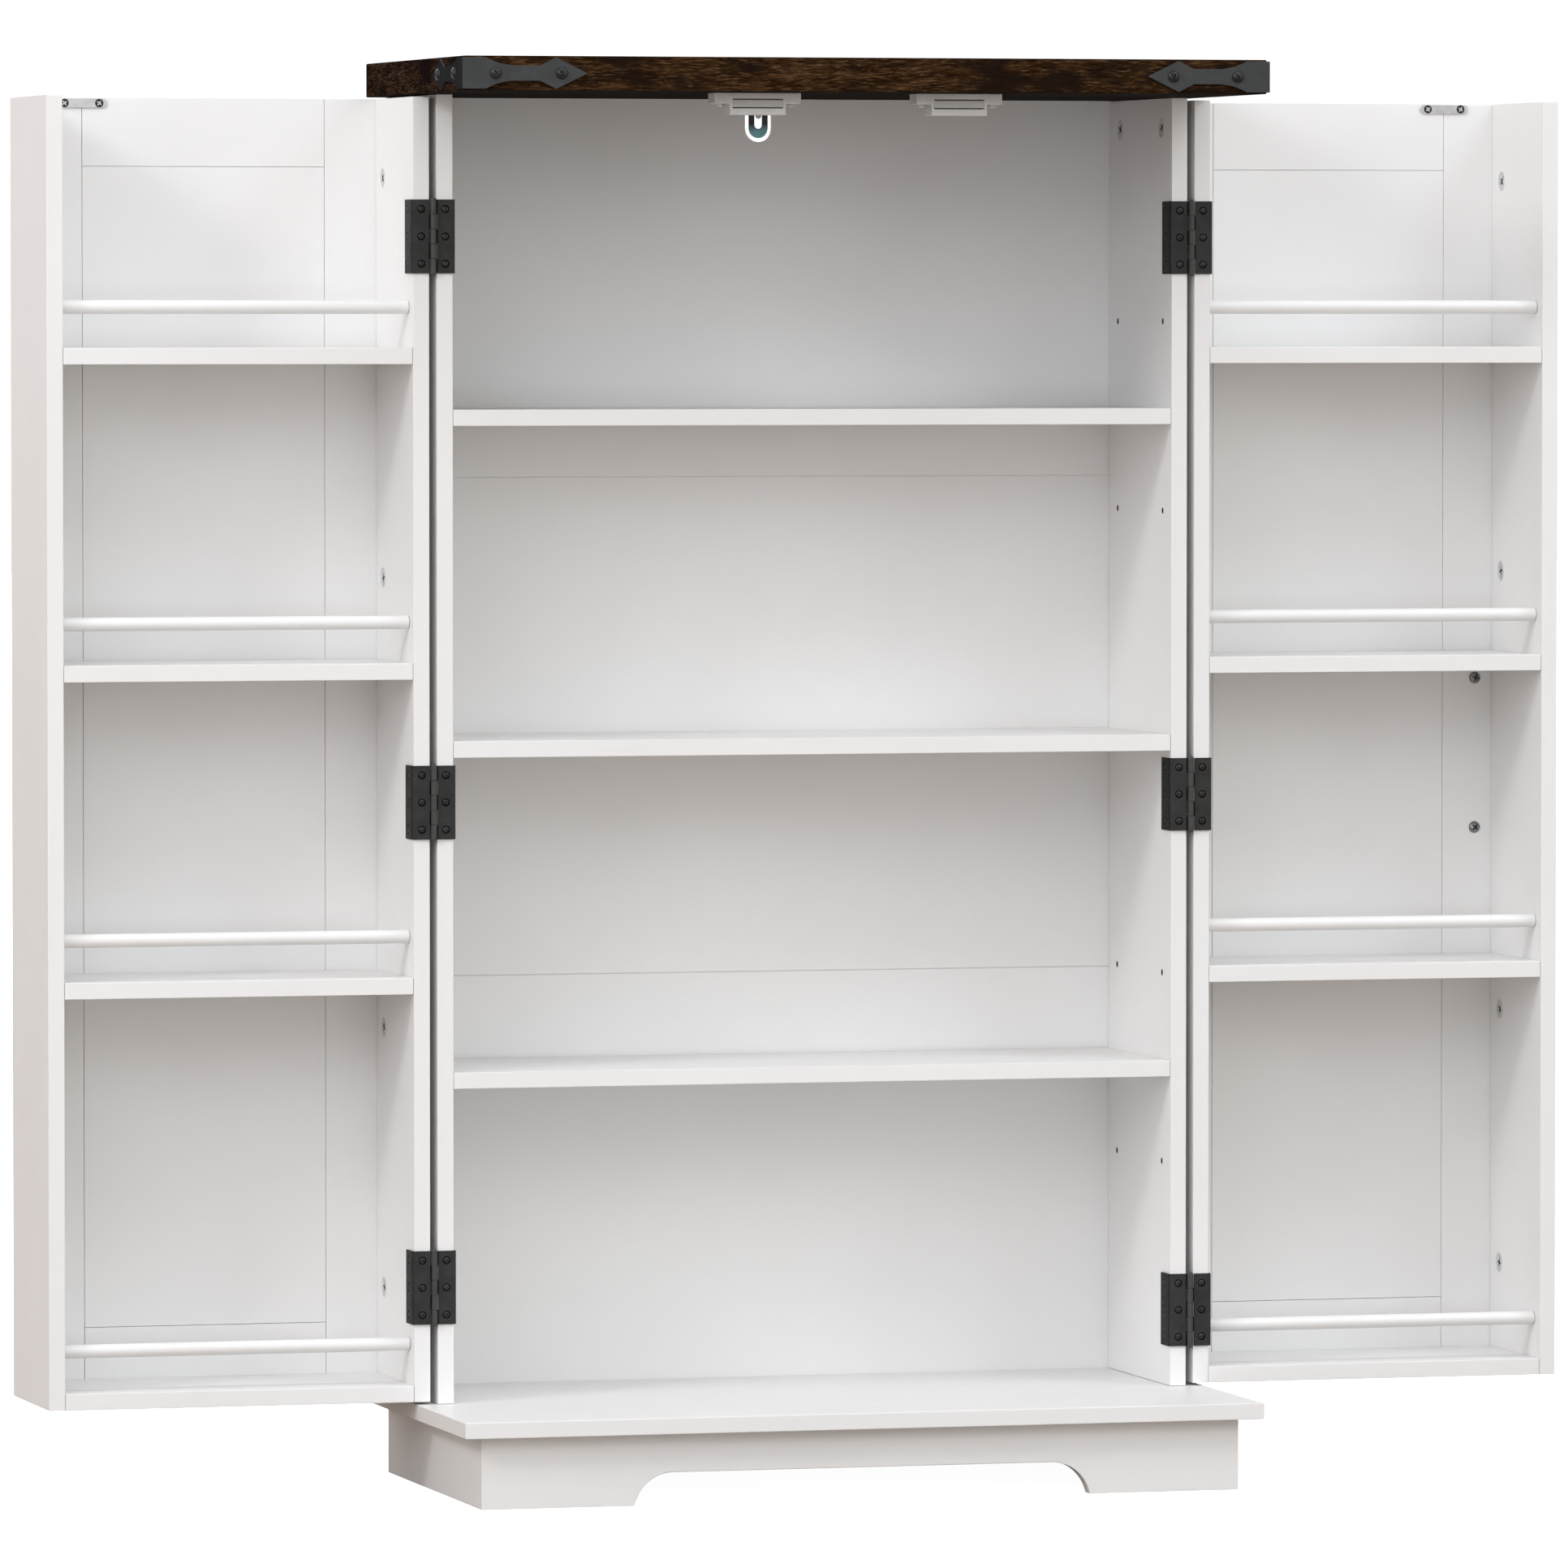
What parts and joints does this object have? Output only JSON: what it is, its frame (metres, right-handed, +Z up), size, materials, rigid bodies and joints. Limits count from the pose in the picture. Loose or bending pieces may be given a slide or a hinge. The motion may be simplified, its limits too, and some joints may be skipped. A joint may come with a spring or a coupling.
{
  "type": "pantry cabinet",
  "caption": "Free-standing pantry cabinet with open-front bays, deep storage doors with guarded shelves, an arched plinth and a dark wood top.",
  "frame": {"origin": "on the floor, under the middle of the whole cabinet with both doors fully open", "axes": "+X to the viewer's right along the cabinet's width, +Y to the back, +Z up; the front faces -Y"},
  "size_m": [1.155, 0.316, 1.05],
  "materials": {
    "white_paint": "satin white lacquer over board",
    "rustic_wood": "dark rustic brown with streaked grain, matt",
    "black_metal": "black powder coat",
    "slate_metal": "dark slate grey, matt",
    "catch_plastic": "milky white moulded plastic",
    "steel": "zinc plated"
  },
  "bodies": {
    "carcass": {"top_board": "rustic_wood", "bottom_board": "white_paint", "plinth_front": "white_paint", "plinth_left": "white_paint", "plinth_right": "white_paint", "plinth_back": "white_paint", "side_left": "white_paint", "side_right": "white_paint", "shelf_middle": "white_paint", "back_lower": "white_paint", "back_middle": "white_paint", "back_upper": "white_paint", "corner_bracket_left": "slate_metal", "corner_bracket_right": "slate_metal", "magnet_catch_left": "catch_plastic", "magnet_catch_right": "catch_plastic", "anti_tip_bracket": "steel", "left_hinge_upper_carcass_leaf": "black_metal", "left_hinge_middle_carcass_leaf": "black_metal", "left_hinge_lower_carcass_leaf": "black_metal", "right_hinge_upper_carcass_leaf": "black_metal", "right_hinge_middle_carcass_leaf": "black_metal", "right_hinge_lower_carcass_leaf": "black_metal"},
    "left_door": {"left_door_hinge_wall": "white_paint", "left_door_free_wall": "white_paint", "left_door_frame": "white_paint", "left_door_panel": "white_paint", "left_door_shelf_bottom": "white_paint", "left_door_shelf_lower": "white_paint", "left_door_shelf_middle": "white_paint", "left_door_shelf_upper": "white_paint", "left_door_rod_bottom": "white_paint", "left_door_rod_lower": "white_paint", "left_door_rod_middle": "white_paint", "left_door_rod_upper": "white_paint", "left_door_handle": "black_metal", "left_door_strike_plate": "steel", "left_hinge_upper_door_leaf": "black_metal", "left_hinge_middle_door_leaf": "black_metal", "left_hinge_lower_door_leaf": "black_metal"},
    "right_door": {"right_door_hinge_wall": "white_paint", "right_door_free_wall": "white_paint", "right_door_frame": "white_paint", "right_door_panel": "white_paint", "right_door_shelf_bottom": "white_paint", "right_door_shelf_lower": "white_paint", "right_door_shelf_middle": "white_paint", "right_door_shelf_upper": "white_paint", "right_door_rod_bottom": "white_paint", "right_door_rod_lower": "white_paint", "right_door_rod_middle": "white_paint", "right_door_rod_upper": "white_paint", "right_door_handle": "black_metal", "right_door_strike_plate": "steel", "right_hinge_upper_door_leaf": "black_metal", "right_hinge_middle_door_leaf": "black_metal", "right_hinge_lower_door_leaf": "black_metal"},
    "upper_shelf": {"shelf_upper": "white_paint"},
    "lower_shelf": {"shelf_lower": "white_paint"}
  },
  "joints": [
    {"name": "left_door_swing", "type": "hinge", "parent": "carcass", "child": "left_door", "pos_m": [-0.2897, -0.0076, 0.507], "axis": [0, 0, 1], "range_deg": [0, 180]},
    {"name": "right_door_swing", "type": "hinge", "parent": "carcass", "child": "right_door", "pos_m": [0.2897, -0.0076, 0.507], "axis": [0, 0, -1], "range_deg": [0, 180]},
    {"name": "upper_shelf_lift", "type": "slide", "parent": "carcass", "child": "upper_shelf", "axis": [0, 0, 1], "range_m": [0, 0.0705]},
    {"name": "lower_shelf_lift", "type": "slide", "parent": "carcass", "child": "lower_shelf", "axis": [0, 0, 1], "range_m": [0, 0.0705]}
  ]
}
